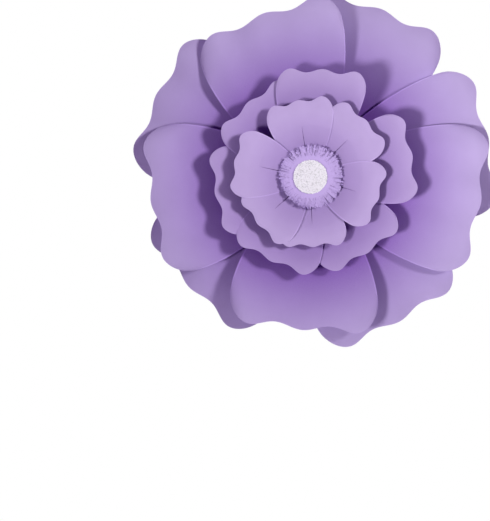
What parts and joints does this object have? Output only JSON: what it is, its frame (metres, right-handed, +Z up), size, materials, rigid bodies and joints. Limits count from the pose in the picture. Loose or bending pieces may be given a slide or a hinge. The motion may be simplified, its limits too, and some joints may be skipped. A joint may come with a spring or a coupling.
{
  "type": "giant paper flower",
  "caption": "Wall-hung paper flower with rings of cupped, lobed petals around a fringed centre disc and a glitter disc.",
  "frame": {"origin": "centre of the backing disc's rear face, which is stuck to the wall", "axes": "+Z up the wall, +Y into the wall, so the flower faces -Y, and +X to the viewer's right"},
  "size_m": [0.3971, 0.0736, 0.3879],
  "materials": {
    "petal_paper": "matte",
    "fringe_paper": "matte",
    "backing_card": "matte",
    "pad_card": "matte",
    "glitter_card": "satin"
  },
  "bodies": {
    "root": {"backing_disc": "backing_card", "back_petal_1": "petal_paper", "back_petal_2": "petal_paper", "back_petal_3": "petal_paper", "back_petal_4": "petal_paper", "back_petal_5": "petal_paper", "front_petal_1": "petal_paper", "front_petal_2": "petal_paper", "front_petal_3": "petal_paper", "front_petal_4": "petal_paper", "middle_petal_1": "petal_paper", "middle_petal_2": "petal_paper", "middle_petal_3": "petal_paper", "middle_petal_4": "petal_paper", "middle_petal_5": "petal_paper", "middle_petal_6": "petal_paper", "inner_petal_1": "petal_paper", "inner_petal_2": "petal_paper", "inner_petal_3": "petal_paper", "inner_petal_4": "petal_paper", "inner_petal_5": "petal_paper", "inner_petal_6": "petal_paper", "middle_base_disc": "backing_card", "inner_base_disc": "backing_card", "inner_riser": "pad_card", "centre_pad": "pad_card", "fringed_disc": "fringe_paper", "glitter_disc": "glitter_card"}
  },
  "joints": []
}
